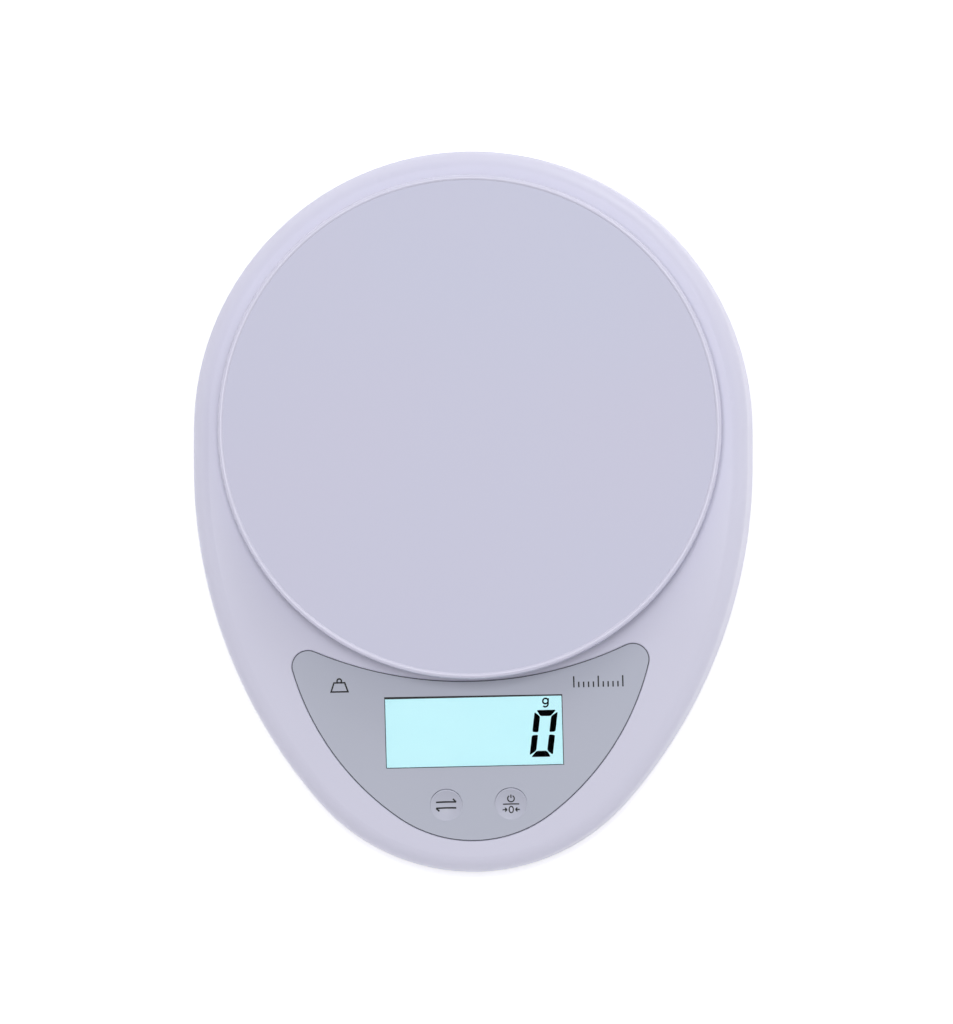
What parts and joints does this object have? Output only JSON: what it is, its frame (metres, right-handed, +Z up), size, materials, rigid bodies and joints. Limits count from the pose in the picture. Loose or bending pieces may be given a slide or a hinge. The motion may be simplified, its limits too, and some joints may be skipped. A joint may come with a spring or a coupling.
{
  "type": "digital kitchen scale",
  "caption": "Egg-shaped digital kitchen scale with a round raised weighing platter, a sloping grey console, a backlit display and dished push buttons.",
  "frame": {"origin": "centre of the footprint's bounding box, on the table under the rubber feet", "axes": "+Z up, +Y from the console to the back of the scale, +X to the right of a user at the console"},
  "size_m": [0.1784, 0.23, 0.037],
  "materials": {
    "body_plastic": "moulded ABS, fine satin",
    "platter_plastic": "moulded ABS, fine satin",
    "carrier_plastic": "moulded ABS, plain",
    "panel_film": "printed polycarbonate film, satin",
    "button_plastic": "moulded, satin",
    "clear_window": "clear acrylic, polished",
    "lcd_glass": "backlit liquid crystal display",
    "diffuser_plastic": "milky acrylic",
    "led_resin": "cast resin",
    "contact_rubber": "striped silicone",
    "black_plastic": "moulded",
    "switch_plastic": "moulded",
    "board_laminate": "glass-fibre laminate with solder mask",
    "black_resin": "cast epoxy drop",
    "chip_ceramic": "fired ceramic",
    "beam_aluminium": "milled and anodised",
    "gauge_coating": "silicone sealant",
    "plate_steel": "punched and zinc plated",
    "screw_steel": "zinc plated",
    "contact_nickel": "nickel-plated spring steel",
    "battery_can": "printed sleeve on a steel can",
    "red_wire": "PVC insulation",
    "black_wire": "PVC insulation",
    "grey_wire": "PVC jacket",
    "rubber": "moulded rubber, matte"
  },
  "bodies": {
    "housing": {"lower_case": "body_plastic", "upper_case": "body_plastic", "rubber_feet": "rubber", "case_screws": "screw_steel", "control_panel_overlay": "panel_film", "display_lens": "clear_window", "lcd_frame": "black_plastic", "lcd_glass": "lcd_glass", "backlight_diffuser": "diffuser_plastic", "backlight_leds": "led_resin", "zebra_connectors": "contact_rubber", "main_circuit_board": "board_laminate", "board_screws": "screw_steel", "controller_chip": "black_resin", "circuit_components": "chip_ceramic", "unit_switch_body": "black_plastic", "tare_switch_body": "black_plastic", "load_cell": "beam_aluminium", "strain_gauges": "gauge_coating", "base_spacer_plate": "plate_steel", "load_cell_base_screws": "screw_steel", "overload_stop_screw": "screw_steel", "batteries": "battery_can", "battery_contact_positive": "contact_nickel", "battery_contact_negative": "contact_nickel", "battery_contact_bridge": "contact_nickel", "battery_wire_positive": "red_wire", "battery_wire_negative": "black_wire", "load_cell_cable": "grey_wire"},
    "platter": {"platter_cover": "platter_plastic", "platter_carrier": "carrier_plastic", "carrier_spacer_plate": "plate_steel", "platter_screws": "screw_steel"},
    "unit_button": {"unit_button_cap": "button_plastic", "unit_switch_plunger": "switch_plastic"},
    "tare_button": {"tare_button_cap": "button_plastic", "tare_switch_plunger": "switch_plastic"},
    "battery_door": {"battery_door": "body_plastic"}
  },
  "joints": [
    {"name": "platter_travel", "type": "slide", "parent": "housing", "child": "platter", "axis": [0, 0, -1], "range_m": [0, 0.0006], "stiffness_N_per_m": 98000, "deforming": ["load_cell", "strain_gauges"]},
    {"name": "unit_button_press", "type": "slide", "parent": "housing", "child": "unit_button", "axis": [0, 0.1392, -0.9903], "range_m": [0, 0.00035], "stiffness_N_per_m": 4500},
    {"name": "tare_button_press", "type": "slide", "parent": "housing", "child": "tare_button", "axis": [0, 0.1392, -0.9903], "range_m": [0, 0.00035], "stiffness_N_per_m": 4500},
    {"name": "battery_door_swing", "type": "hinge", "parent": "housing", "child": "battery_door", "pos_m": [0, 0.056, 0.002], "axis": [-1, 0, 0], "range_deg": [0, 75]}
  ]
}
